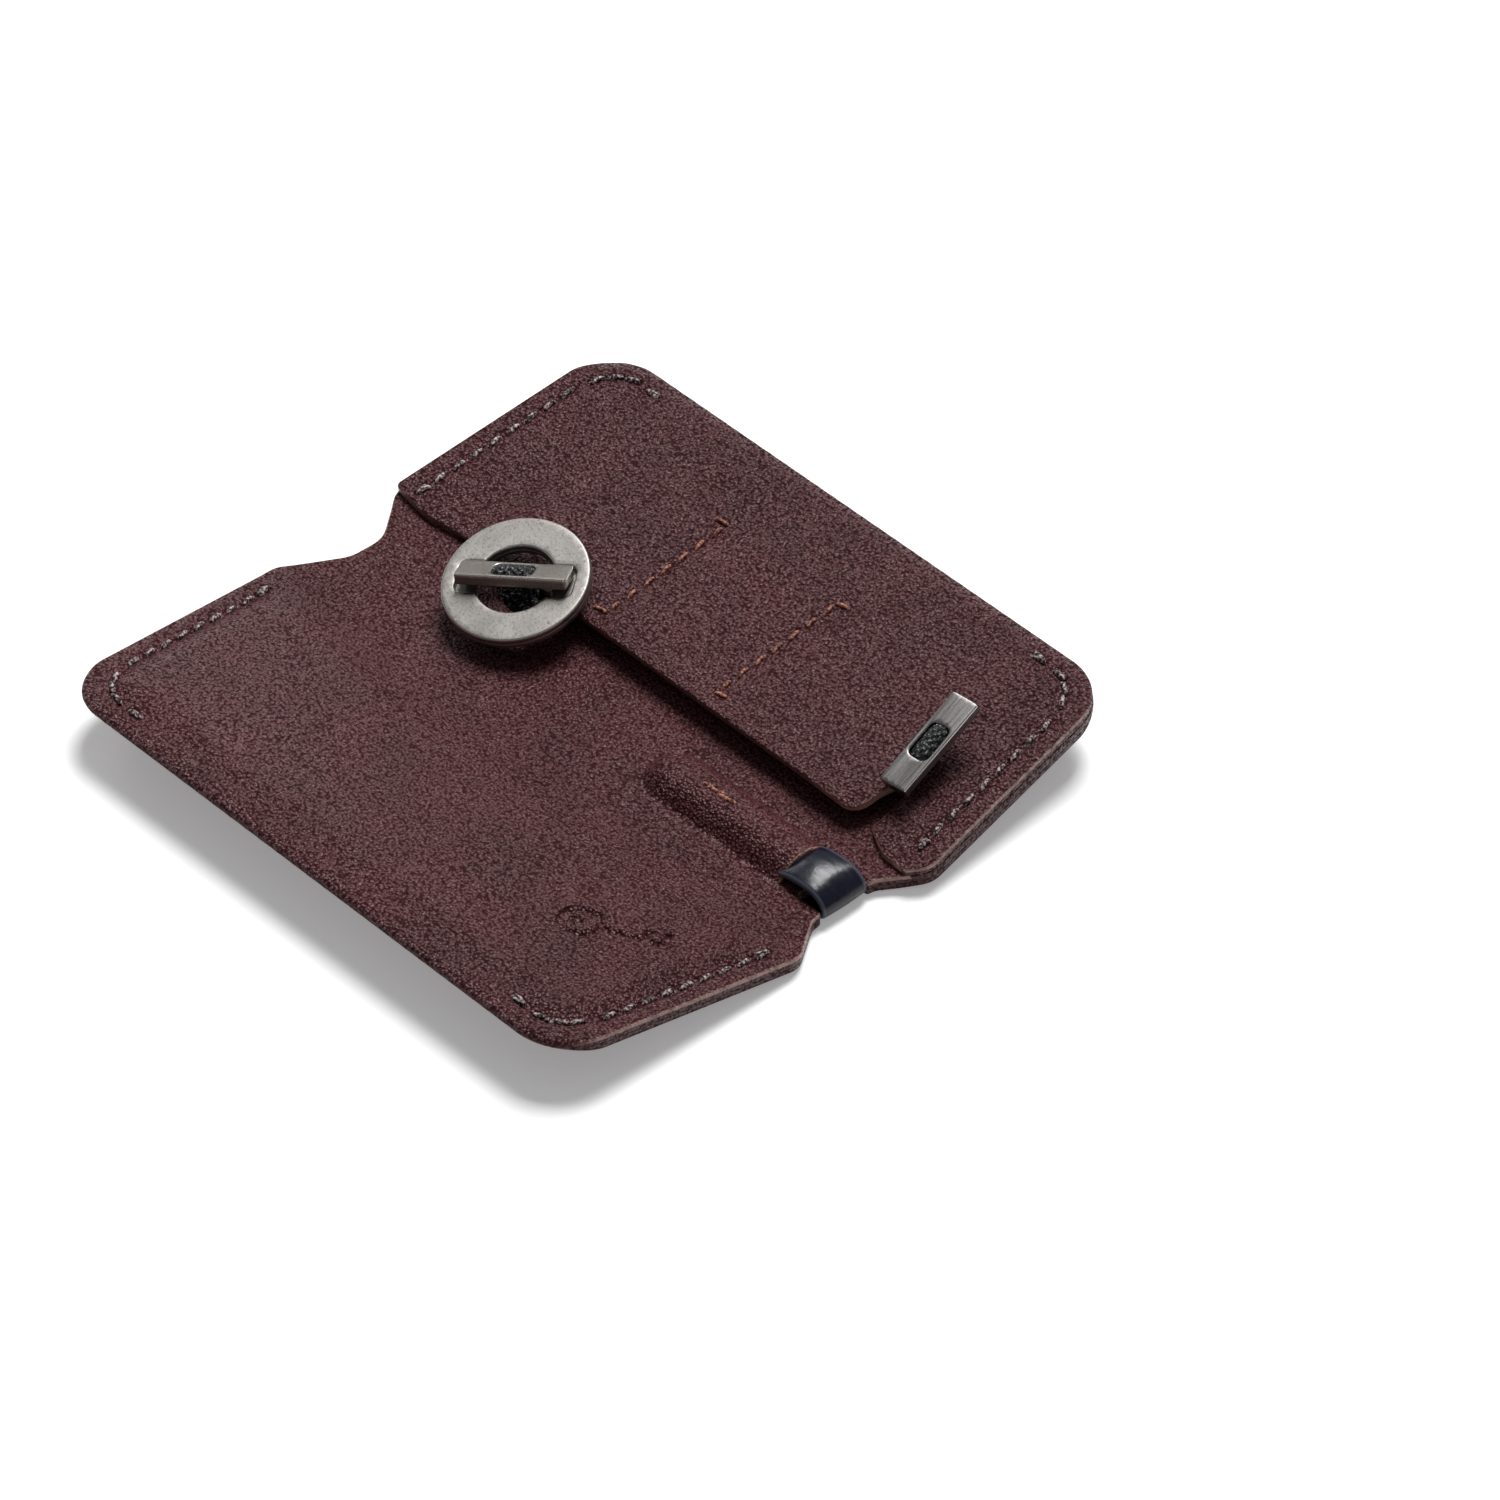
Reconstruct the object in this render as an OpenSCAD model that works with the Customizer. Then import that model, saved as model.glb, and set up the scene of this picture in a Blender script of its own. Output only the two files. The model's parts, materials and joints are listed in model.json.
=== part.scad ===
// Folding leather key organiser, lying open on its spine.
// +Y runs along the spine, +X points from the plain panel to the pocket panel, +Z is up.
// The origin is under the middle of the spine, on the surface that the cover lies on.

/* [Cover] */
// Length of the cover beside the spine
cover_len = 94; // [90:0.5:100]
// Length of the long outer edges
edge_len = 88; // [84:0.5:90]
// Width of the open cover, seen from above
cover_w = 90.8; // [86:0.2:96]
// Width of the flat spine between the two creases
spine_w = 18; // [17:0.5:20]
// Radius of the outer corners
corner_r = 8; // [5:0.5:12]
// How far each panel tilts up from the table when the cover lies open
panel_tilt = 9.3; // [6:0.1:12]
// Thickness of each layer of leather
leather_t = 1.1; // [1:0.1:1.4]
// Thickness of the stiffening board inside each panel
board_t = 0.6; // [0.4:0.1:0.7]
// Height above the table of the line that the cover closes about
fold_h = 7.2; // [7:0.1:8]

/* [Pocket] */
// Height of the pocket's mouth, between lining and flap
mouth_h = 2; // [1.6:0.1:2.2]
// Distance of the flap's slit from the middle of the cover
slit_y = 36.5; // [36:0.1:37]
// Width of the slit
slit_w = 2.2; // [2:0.1:2.6]
// Length of the slit, from the flap's free edge
slit_len = 17; // [16.8:0.1:20]

/* [Loop] */
// Width of the leather loop at the end of the spine
loop_w = 7; // [6:0.1:7.4]
// Radius of the loop's eye
loop_eye_r = 1.45; // [1.2:0.05:1.5]

/* [Washer and toggles] */
// Outer radius of the washer
washer_r = 9.3; // [9:0.1:9.6]
// Radius of the washer's hole
washer_hole_r = 5; // [4.8:0.1:5.4]
// Thickness of the washer
washer_t = 1.7; // [1.6:0.1:2]
// Lean of the washer towards the plain panel
washer_lean = 16; // [12:1:18]
// Turn of the washer, with its toggle, about the strap
washer_spin = -57; // [-70:1:-40]
// Length of a toggle bar
toggle_len = 14.2; // [13.6:0.1:14.4]
// Width of a toggle bar
toggle_w = 4; // [3.6:0.1:4.1]
// Thickness of a toggle bar
toggle_t = 1.5; // [1.4:0.1:1.8]

/* [Hidden] */

plum = [0.25, 0.14, 0.15];
plum_inside = [0.29, 0.17, 0.18];
thread_dark = [0.17, 0.13, 0.13];
thread_red = [0.36, 0.15, 0.11];
navy = [0.07, 0.08, 0.13];
steel = [0.55, 0.53, 0.51];
webbing = [0.06, 0.06, 0.07];
board_colour = [0.75, 0.74, 0.7];

crease_x = spine_w / 2;
panel_u = (cover_w / 2 - crease_x) / cos(panel_tilt);
spine_end = cover_len / 2 - 4;
spine_corner = cover_len / 2 - 2.3;
shoulder_u = 2.5;
shoulder_r = 3;

// The left body starts here, with a bending strip between it and the spine
left_start = 5;
spine_left = 3.9;

lining_left_t = leather_t + board_t - 0.1;
lining_top = 2 * leather_t;
flap_u0 = 1.5;
flap_flat_u = 33;
tab_u0 = 0.2;
ramp_y = [28.8, 35.8];
flap_slope = atan(mouth_h / (flap_flat_u - flap_u0));

board_inset = 4.5;
magnet_r = 5;
magnet_u = 26;
magnet_y = 24;

// Moulded sleeve on the spine, and the loop that it holds
sleeve_x = 1;
sleeve_w = 8.4;
sleeve_h = 2.6;
sleeve_far = -10.2;
sleeve_mouth = -36.2;
tail_t = 1.45;
tail_far = -15.7;
loop_wall = 0.85;
eye_y = -41.3;
eye_z = loop_eye_r + loop_wall + 0.05;

stitch_len = 2.1;
stitch_pitch = 2.85;
stitch_w = 0.45;
stitch_t = 0.3;
stitch_inset = 2.9;
seam_y = 9.8;
seam_mid = 0.5;
seam_u = [5.6, 24];

strap_w = 5.2;
strap_t = 0.8;
washer_pos = [6.9, 20.3, 7.3];
groove_len = 15;
groove_w = 4.8;
toggle_a_roll = 26;
toggle_a_rise = toggle_w / 2 * sin(toggle_a_roll) + toggle_t / 2 * cos(toggle_a_roll) + 0.04;
toggle_b_pos = [21.4, -36.5, 9.4];
toggle_b_pitch = 20;
toggle_b_yaw = 5;
window_len = 5.3;
window_w = 2.8;
pin_r = 0.4;
loop_thread_r = 1.1;
web_w = 4.9;
web_t = 1.2;

function unit(v) = v / norm(v);

// The points that round one corner of a path, where p = [x, y, radius]
function corner(a, b, c, r) =
    let (
        back = unit([a.x - b.x, a.y - b.y]),
        on = unit([c.x - b.x, c.y - b.y]),
        half = acos(back * on) / 2,
        mid = [b.x, b.y] + unit(back + on) * r / sin(half),
        from = [b.x, b.y] + back * r / tan(half) - mid,
        to = [b.x, b.y] + on * r / tan(half) - mid,
        start = atan2(from.y, from.x),
        turn = atan2(from.x * to.y - from.y * to.x, from * to),
        steps = max(2, ceil(r))
    )
    [for (i = [0 : steps]) mid + r * [cos(start + turn * i / steps), sin(start + turn * i / steps)]];

function rounded(path) = [
    for (i = [0 : len(path) - 1])
        let (a = path[(i + len(path) - 1) % len(path)], b = path[i], c = path[(i + 1) % len(path)])
            each (b.z > 0 ? corner(a, b, c, b.z) : [[b.x, b.y]])
];

// Puts a flat thing on the right panel, with its first axis running out from the crease
module on_right() {
    translate([crease_x, 0, 0]) rotate([0, -panel_tilt, 0]) children();
}

module on_left() {
    mirror([1, 0, 0]) on_right() children();
}

// Top of the raised flap: the first axis runs down its slope from the free edge
module on_flap() {
    on_right()
        translate([flap_u0, 0, lining_top + mouth_h + leather_t])
            rotate([0, flap_slope, 0]) children();
}

// Outline of one panel, from the crease at 0 to the outer edge
module panel_shape(inset = 0) {
    half_in = cover_len / 2 - inset;
    half_out = edge_len / 2 - inset;
    start = inset > 0 ? shoulder_u + inset : 0;
    far = panel_u - inset;
    inner = inset > 0 ? half_in : spine_corner;
    polygon(rounded([
        [start, -inner, 0],
        [start + shoulder_u, -half_in, inset > 0 ? 0 : shoulder_r],
        [far, -half_out, corner_r - inset],
        [far, half_out, corner_r - inset],
        [start + shoulder_u, half_in, inset > 0 ? 0 : shoulder_r],
        [start, inner, 0]
    ]));
}

// Outline of the spine between two places across it, with its notched ends
module spine_shape(from, to) {
    intersection() {
        polygon([
            [-crease_x, -spine_corner], [-5, -spine_end], [5, -spine_end], [crease_x, -spine_corner],
            [crease_x, spine_corner], [5, spine_end], [-5, spine_end], [-crease_x, spine_corner]
        ]);
        translate([from, -cover_len / 2]) square([to - from, cover_len]);
    }
}

// The cut under the loop that leaves room for a ring
module loop_cut() {
    translate([sleeve_x - sleeve_w / 2, -cover_len / 2, -1])
        cube([sleeve_w, cover_len / 2 + eye_y + loop_eye_r + loop_wall + 0.2, 10]);
}

module layer(height, from = 0) {
    translate([0, 0, from]) linear_extrude(height) children();
}

module board_space() {
    layer(board_t, leather_t) panel_shape(board_inset);
}

module board_body() {
    difference() {
        board_space();
        magnet_places() cylinder(r = magnet_r, h = board_t * 3, center = true, $fn = 48);
    }
}

module magnet_places() {
    for (side = [-1, 1])
        translate([magnet_u, side * magnet_y, leather_t + board_t / 2]) children();
}

module magnet_pair() {
    magnet_places() cylinder(r = magnet_r, h = board_t, center = true, $fn = 48);
}

// Stitches along a panel's short edge: out from the spine, round the corner and back-tacked
module edge_stitches(side, top) {
    half_in = cover_len / 2 - stitch_inset;
    half_out = edge_len / 2 - stitch_inset;
    bend_r = corner_r - stitch_inset;
    far = panel_u - stitch_inset;
    line = unit([far, half_out - half_in]);
    turn = 90 + atan2(line.y, line.x);
    straight_len = far - 4.4 - bend_r;
    count = floor(straight_len / stitch_pitch);
    for (i = [0 : count])
        one_stitch([4.4, half_in] + line * stitch_pitch * i, atan2(line.y, line.x), side, top);
    for (i = [1 : 3])
        let (angle = 90 - turn * i / 3.4)
            one_stitch(
                [far - bend_r, half_out - bend_r + 0.2] + bend_r * [cos(angle), sin(angle)],
                angle - 90, side, top);
    one_stitch([far, half_out - bend_r - 2.2], -90, side, top);
}

module one_stitch(at, angle, side, top) {
    translate([at.x, side * at.y, top + stitch_t / 2 + 0.01])
        rotate([0, 0, side * angle])
            cube([stitch_len, stitch_w, stitch_t], center = true);
}

// A straight seam across the flap, with a back-tack at each end
module seam(side) {
    count = floor((seam_u[1] - seam_u[0]) / stitch_pitch);
    y = seam_mid + side * seam_y;
    on_flap() {
        for (i = [0 : count])
            one_stitch([seam_u[0] + stitch_pitch * i, y], 0, 1, 0);
        for (x = [seam_u[0] - stitch_len / 2 - 0.5, seam_u[0] + stitch_pitch * count + stitch_len / 2 + 0.5])
            one_stitch([x, y + side * 0.9], 90, 1, 0);
    }
}

module at_washer() {
    translate(washer_pos) rotate([0, -washer_lean, 0]) rotate([0, 0, washer_spin]) children();
}

module at_toggle_a() {
    at_washer() translate([0, 0, toggle_a_rise]) rotate([-toggle_a_roll, 0, 0]) children();
}

module at_toggle_b() {
    translate(toggle_b_pos) rotate([0, -toggle_b_pitch, toggle_b_yaw]) children();
}

module toggle_bar() {
    difference() {
        intersection() {
            cube([toggle_len, toggle_w, toggle_t], center = true);
            translate([0, 0, -toggle_t]) cylinder(r = toggle_len / 2 + 0.15, h = 2 * toggle_t, $fn = 96);
        }
        cube([window_len, window_w, toggle_t * 2], center = true);
        rotate([0, 90, 0]) cylinder(r = pin_r, h = window_len + 2, center = true, $fn = 24);
    }
}

module toggle_pin() {
    rotate([0, 90, 0]) cylinder(r = pin_r, h = window_len + 2, center = true, $fn = 24);
}

module strap_loop() {
    rotate([0, 90, 0])
        difference() {
            cylinder(r = loop_thread_r, h = web_w, center = true, $fn = 32);
            cylinder(r = pin_r, h = web_w + 1, center = true, $fn = 24);
        }
}

module outer_right() {
    color(plum) {
        difference() {
            layer(leather_t) spine_shape(-spine_left, crease_x);
            loop_cut();
        }
        on_right() layer(leather_t) panel_shape();
    }
}

module sleeve_outside() {
    low = lining_top - 0.2;
    hull() {
        translate([sleeve_x, sleeve_far - sleeve_w / 2, low])
            scale([1, 1, 2 * (sleeve_h + 0.2) / sleeve_w]) sphere(d = sleeve_w, $fn = 32);
        translate([sleeve_x, sleeve_mouth, low])
            rotate([-90, 0, 0]) scale([1, 2 * (sleeve_h + 0.2) / sleeve_w, 1])
                cylinder(d = sleeve_w, h = 1, $fn = 32);
    }
}

module sleeve_inside() {
    translate([sleeve_x - loop_w / 2, sleeve_mouth - 1, lining_top])
        cube([loop_w, tail_far - sleeve_mouth + 1, tail_t]);
}

module lining_right() {
    color(plum_inside) {
        difference() {
            union() {
                layer(leather_t, leather_t) spine_shape(-spine_left, crease_x);
                intersection() {
                    sleeve_outside();
                    translate([-10, -60, leather_t]) cube([20, 60, 10]);
                }
            }
            loop_cut();
            sleeve_inside();
        }
        on_right()
            difference() {
                layer(leather_t, leather_t) panel_shape();
                board_space();
            }
    }
}

module board_right() {
    color(board_colour) on_right() board_body();
}

module magnets_right() {
    color(steel) on_right() magnet_pair();
}

// Profile of the raised flap, from its free edge down to where it lies on the lining
module flap_profile(from) {
    rise = function(u) u > flap_flat_u ? 0 : mouth_h * (flap_flat_u - u) / (flap_flat_u - flap_u0);
    polygon([
        [from, lining_top + rise(from)],
        [flap_flat_u, lining_top],
        [panel_u, lining_top],
        [panel_u, lining_top + leather_t],
        [flap_flat_u, lining_top + leather_t],
        [from, lining_top + rise(from) + leather_t]
    ]);
}

// The raised flap, cut across at one place along it
module flap_slice(y, from) {
    translate([0, y, 0]) rotate([90, 0, 0]) linear_extrude(0.2)
        intersection() {
            flap_profile(from);
            square([flap_flat_u, 20]);
        }
}

// At one end the flap slopes down to its sewn edge, and at the other a slit parts it from its tab
module pocket_flap() {
    low = slit_y - slit_w / 2;
    tab_from = slit_y + slit_w / 2;
    color(plum) on_right() {
        translate([0, ramp_y[0], 0]) rotate([90, 0, 0])
            linear_extrude(ramp_y[0] + low) flap_profile(flap_u0);
        layer(leather_t, lining_top)
            intersection() {
                panel_shape();
                union() {
                    translate([flap_u0, ramp_y[1]]) square([panel_u, cover_len]);
                    translate([flap_flat_u, ramp_y[0] - 0.2]) square([panel_u, cover_len]);
                    translate([tab_u0, -cover_len]) square([panel_u, cover_len - tab_from]);
                    translate([flap_flat_u, -cover_len]) square([panel_u, cover_len - low + 0.5]);
                }
            }
        hull() {
            flap_slice(ramp_y[0], flap_u0);
            translate([flap_u0, ramp_y[1], lining_top]) cube([flap_flat_u - flap_u0, 0.2, leather_t]);
        }
        hull() {
            flap_slice(0.2 - low, slit_len);
            translate([slit_len, -tab_from - 0.2, lining_top])
                cube([flap_flat_u - slit_len + 0.3, 0.2, leather_t]);
        }
    }
}

module stitches_right_top() {
    color(thread_dark) on_right() edge_stitches(1, lining_top + leather_t);
}

module stitches_right_bottom() {
    color(thread_dark) on_right() edge_stitches(-1, lining_top + leather_t);
}

module seam_top() {
    color(thread_red) seam(1);
}

module seam_bottom() {
    color(thread_red) seam(-1);
}

// A strip folded double: its tail lies in the sleeve and its eye stands past the spine
module loop_tab() {
    eye_r = loop_eye_r + loop_wall;
    top = eye_z + eye_r;
    color(navy)
        difference() {
            union() {
                translate([sleeve_x - loop_w / 2, 0, 0]) rotate([90, 0, 90]) linear_extrude(loop_w)
                    polygon([
                        [tail_far - 0.2, lining_top], [sleeve_mouth - 0.6, lining_top],
                        [eye_y + 1, eye_z + loop_eye_r / 2], [eye_y, top - 0.4], [eye_y, top],
                        [sleeve_mouth - 1, lining_top + tail_t + 0.2], [sleeve_mouth, lining_top + tail_t],
                        [tail_far - 0.2, lining_top + tail_t]
                    ]);
                translate([sleeve_x, eye_y, eye_z]) rotate([0, 90, 0])
                    cylinder(r = eye_r, h = loop_w, center = true, $fn = 48);
            }
            translate([sleeve_x, eye_y, eye_z]) rotate([0, 90, 0])
                cylinder(r = loop_eye_r, h = loop_w + 1, center = true, $fn = 48);
        }
}

// Bar tack that holds the loop's tail down in the sleeve
module loop_tack() {
    color(thread_red)
        translate([sleeve_x, -21.7, lining_top + sleeve_h + stitch_t / 2 + 0.01])
            cube([0.9, 5, stitch_t], center = true);
}

module strap_base_a() {
    color(webbing) {
        translate([washer_pos.x - 2.6, washer_pos.y - strap_w / 2, lining_top])
            cube([crease_x - washer_pos.x + 2.6, strap_w, strap_t]);
        on_right() translate([-0.1, washer_pos.y - strap_w / 2, lining_top]) cube([14, strap_w, strap_t]);
    }
}

module strap_base_b() {
    color(webbing) on_right()
        translate([10.3, -slit_y - 0.6, lining_top]) cube([strap_w, 19, strap_t]);
}

module fold_strip(from, height) {
    color(plum) layer(height, from) spine_shape(-left_start, -spine_left);
}

module fold_outer() {
    fold_strip(0, leather_t);
}

module fold_lining() {
    fold_strip(leather_t, leather_t);
}

module outer_left() {
    color(plum) {
        layer(leather_t) spine_shape(-crease_x, -left_start);
        on_left() layer(leather_t) panel_shape();
    }
}

module lining_left() {
    color(plum_inside) {
        layer(leather_t, leather_t) spine_shape(-crease_x, -left_start);
        on_left()
            difference() {
                layer(lining_left_t, leather_t) panel_shape();
                board_space();
            }
    }
}

module board_left() {
    color(board_colour) on_left() board_body();
}

module magnets_left() {
    color(steel) on_left() magnet_pair();
}

module stitches_left_top() {
    color(thread_dark) on_left() edge_stitches(1, leather_t + lining_left_t);
}

module stitches_left_bottom() {
    color(thread_dark) on_left() edge_stitches(-1, leather_t + lining_left_t);
}

// The strap's free end, folded double, from the spine up through the washer's hole
module strap_a() {
    low = -3;
    color(webbing) at_washer()
        translate([-web_w / 2, -web_t / 2, low])
            cube([web_w, web_t, toggle_a_rise - loop_thread_r - low - 0.02]);
}

module washer() {
    bevel = 0.3;
    half = washer_t / 2;
    color(steel) at_washer()
        difference() {
            rotate_extrude($fn = 96)
                polygon([
                    [washer_hole_r, -half + bevel], [washer_hole_r + bevel, -half],
                    [washer_r - bevel, -half], [washer_r, -half + bevel],
                    [washer_r, half - bevel], [washer_r - bevel, half],
                    [washer_hole_r + bevel, half], [washer_hole_r, half - bevel]
                ]);
            translate([-groove_len / 2, -groove_w / 2, 0]) cube([groove_len, groove_w, washer_t]);
        }
}

module toggle_bar_a() {
    color(steel) at_toggle_a() toggle_bar();
}

module toggle_pin_a() {
    color(steel) at_toggle_a() toggle_pin();
}

module strap_loop_a() {
    color(webbing) at_toggle_a() strap_loop();
}

module strap_b() {
    bottom = 5.55;
    color(webbing)
        translate([toggle_b_pos.x - web_w / 2, toggle_b_pos.y - web_t / 2, bottom])
            cube([web_w, web_t, toggle_b_pos.z - loop_thread_r - bottom - 0.9]);
}

module toggle_bar_b() {
    color(steel) at_toggle_b() toggle_bar();
}

module toggle_pin_b() {
    color(steel) at_toggle_b() toggle_pin();
}

module strap_loop_b() {
    color(webbing) at_toggle_b() strap_loop();
}

outer_right();
lining_right();
board_right();
magnets_right();
pocket_flap();
stitches_right_top();
stitches_right_bottom();
seam_top();
seam_bottom();
loop_tab();
loop_tack();
strap_base_a();
strap_base_b();
fold_outer();
fold_lining();
outer_left();
lining_left();
board_left();
magnets_left();
stitches_left_top();
stitches_left_bottom();
strap_a();
washer();
toggle_bar_a();
toggle_pin_a();
strap_loop_a();
strap_b();
toggle_bar_b();
toggle_pin_b();
strap_loop_b();
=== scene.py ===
"""Looks for the folding leather key organiser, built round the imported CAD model.

The row frame is in metres: +Y runs along the spine, +X from the plain panel to the pocket panel, +Z up.
The leather is drawn flat first, in millimetres. A place on the flat cover is (s, y, w): s is the distance
across it from the middle of the spine, y runs along the spine, and w is the height above its underside.
fold_up() turns such places into the open cover's shape.
"""
import json
import math

import bpy
import numpy as np
from mathutils import Matrix, Vector
from mathutils.geometry import delaunay_2d_cdt

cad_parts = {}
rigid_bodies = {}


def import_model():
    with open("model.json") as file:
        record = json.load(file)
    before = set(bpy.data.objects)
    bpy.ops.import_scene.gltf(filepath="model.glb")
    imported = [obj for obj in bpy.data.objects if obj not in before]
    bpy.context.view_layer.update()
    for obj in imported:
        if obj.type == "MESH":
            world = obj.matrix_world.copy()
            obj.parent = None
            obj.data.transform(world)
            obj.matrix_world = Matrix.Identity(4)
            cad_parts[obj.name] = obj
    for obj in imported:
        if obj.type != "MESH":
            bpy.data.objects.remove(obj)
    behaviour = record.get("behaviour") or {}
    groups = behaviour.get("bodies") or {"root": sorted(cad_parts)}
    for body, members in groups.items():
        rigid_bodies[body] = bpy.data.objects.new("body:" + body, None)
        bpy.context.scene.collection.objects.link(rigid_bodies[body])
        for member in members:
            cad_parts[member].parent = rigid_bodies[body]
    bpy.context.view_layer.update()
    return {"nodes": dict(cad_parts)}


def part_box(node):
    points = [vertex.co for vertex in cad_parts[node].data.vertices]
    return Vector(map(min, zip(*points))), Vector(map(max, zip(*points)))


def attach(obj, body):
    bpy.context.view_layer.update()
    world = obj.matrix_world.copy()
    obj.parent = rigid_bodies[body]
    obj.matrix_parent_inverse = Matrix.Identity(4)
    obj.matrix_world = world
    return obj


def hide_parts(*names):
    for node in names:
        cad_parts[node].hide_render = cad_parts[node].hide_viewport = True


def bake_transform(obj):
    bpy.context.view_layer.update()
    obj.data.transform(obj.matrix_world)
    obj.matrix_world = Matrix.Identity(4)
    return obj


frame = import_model()

MM = 0.001

# The cover, in millimetres
CREASE = 9.0  # where the spine ends and a panel starts
TILT = math.radians(9.3)  # how far an open panel rises
SPAN = 45.885  # from the middle of the spine to a long edge, along the leather
HALF_IN = 47.0  # half the cover's length beside the spine
HALF_OUT = 44.0  # half the length of a long edge
CORNER_R = 8.0
LEATHER = 1.1
BOARD_LIFT = 0.75  # how far the board lifts the plain panel's lining

# The pocket flap
FLAP_START = 10.5
FLAP_LIFT = 2.0
FLAP_REST = 42.0  # beyond this distance across the cover, the flap lies on the lining
RAMP = (28.8, 35.8)  # where the flap slopes down to its sewn upper end
SLIT_Y = 36.5
SLIT_W = 2.2
SLIT_END = 20.0
FLAP_COVERS = 9.5  # from here across, the flap hides the lining's edge
ALL_COVERED = -100.0  # further across than any leather, so no lip shows

# The sleeve on the spine and its leather loop
SLEEVE_X = 1.0
SLEEVE_HALF = 4.2
SLEEVE_H = 2.55
SLEEVE_FAR = -10.2
SLEEVE_MOUTH = -36.2
TACK_Y = -21.7
LOOP_W = 7.0
LOOP_T = 0.85

# Sewing
STITCH_PITCH = 2.85
STITCH_LEN = 2.1
STITCH_INSET = 2.9
SEAM_Y = (10.3, -9.3)
SEAM_U = (5.6, 24.0)

# Metal parts and straps
WASHER_R = 9.3
WASHER_HOLE_R = 5.0
WASHER_HALF_T = 0.85
GROOVE_L, GROOVE_W = 14.9, 4.8
TOGGLE_HALF_L = 7.1
TOGGLE_END_R = 7.25
TOGGLE_HALF_T = 0.75
STRAP_W, STRAP_T = 5.0, 0.8
WASHER_LEAN = 16.0
WASHER_SPIN = 57.0
TOGGLE_A_ROLL = 26.0
TOGGLE_B_PITCH = 20.0
TOGGLE_B_YAW = 5.0


# ---------------------------------------------------------------- small tools

def smooth(t):
    t = np.clip(t, 0.0, 1.0)
    return t * t * (3 - 2 * t)


def unit(v):
    v = np.asarray(v, float)
    return v / np.linalg.norm(v)


def units(rows):
    return rows / np.linalg.norm(rows, axis=1)[:, None]


def run(points):
    """How far along a line each of its points is."""
    return np.concatenate([[0], np.cumsum(np.linalg.norm(np.diff(points, axis=0), axis=1))])


def places_at(at, length, points):
    """The places at some distances along a line."""
    return np.column_stack([np.interp(at, length, column) for column in points.T])


def middle(node):
    """The middle of a CAD node's box, in millimetres."""
    low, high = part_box(node)
    return np.array((low + high) / 2) / MM


def rounded(path, step=0.25):
    """The outline through corners (x, y, radius), with each corner rounded."""
    points = []
    for i, (x, y, radius) in enumerate(path):
        here = np.array([x, y])
        if radius <= 0:
            points.append(here)
            continue
        back = unit(np.array(path[i - 1][:2]) - here)
        on = unit(np.array(path[(i + 1) % len(path)][:2]) - here)
        half = math.acos(np.clip(back @ on, -1, 1)) / 2
        mid = here + unit(back + on) * radius / math.sin(half)
        first = here + back * radius / math.tan(half) - mid
        last = here + on * radius / math.tan(half) - mid
        start = math.atan2(first[1], first[0])
        turn = math.atan2(first[0] * last[1] - first[1] * last[0], first @ last)
        steps = max(3, math.ceil(abs(turn) * radius / step))
        for a in np.linspace(start, start + turn, steps + 1):
            points.append(mid + radius * np.array([math.cos(a), math.sin(a)]))
    return np.array(points)


def rounded_box(half_x, half_y, radius):
    corners = [(half_x, half_y), (-half_x, half_y), (-half_x, -half_y), (half_x, -half_y)]
    return rounded([(*corner, radius) for corner in corners], 0.08)


def even(loop, step):
    """A closed outline as evenly spaced points, running anticlockwise."""
    closed = np.vstack([loop, loop[:1]])
    along = run(closed)
    count = max(8, round(along[-1] / step))
    at = np.linspace(0, along[-1], count, endpoint=False)
    points = places_at(at, along, closed)
    x, y = points.T
    area = np.sum(x * np.roll(y, -1) - y * np.roll(x, -1))
    return points if area > 0 else points[::-1]


def inward(loop):
    """Unit normals that point to the left of the way the loop runs."""
    along = units(np.roll(loop, -1, axis=0) - np.roll(loop, 1, axis=0))
    return np.column_stack([-along[:, 1], along[:, 0]])


def distance(x, y, points):
    """How far each place is from the nearest of some points."""
    places = np.column_stack([np.ravel(x), np.ravel(y)])
    found = np.empty(len(places))
    for i in range(0, len(places), 4000):
        gap = places[i:i + 4000, None, :] - points[None, :, :]
        found[i:i + 4000] = np.sqrt((gap ** 2).sum(2).min(1))
    return found.reshape(np.shape(x))


def within(x, y, loops):
    """Which places lie inside an odd number of closed outlines."""
    x, y = np.ravel(x), np.ravel(y)
    odd = np.zeros(len(x), bool)
    for loop in loops:
        x0, y0 = loop.T
        x1, y1 = np.roll(loop, -1, axis=0).T
        rise = np.where(y1 == y0, 1e-12, y1 - y0)
        for i in range(0, len(x), 4000):
            px, py = x[i:i + 4000, None], y[i:i + 4000, None]
            crossed = ((y0 > py) != (y1 > py)) & (px < x0 + (py - y0) * (x1 - x0) / rise)
            odd[i:i + 4000] ^= crossed.sum(1) % 2 == 1
    return odd


def add_mesh(name, points, faces, material, fields=None, flat=None):
    """A smooth mesh from points in millimetres, with its flat coordinates and other fields as attributes."""
    mesh = bpy.data.meshes.new(name)
    mesh.from_pydata((np.asarray(points) * MM).tolist(), [], faces)
    mesh.validate()
    for polygon in mesh.polygons:
        polygon.use_smooth = True
    flat = points if flat is None else flat
    place = mesh.attributes.new("flat", "FLOAT_VECTOR", "POINT")
    place.data.foreach_set("vector", (np.asarray(flat) * MM).astype(np.float32).ravel())
    for field, values in (fields or {}).items():
        attribute = mesh.attributes.new(field, "FLOAT", "POINT")
        attribute.data.foreach_set("value", np.asarray(values, np.float32))
    obj = bpy.data.objects.new(name, mesh)
    bpy.context.scene.collection.objects.link(obj)
    mesh.materials.append(material)
    return obj


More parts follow.
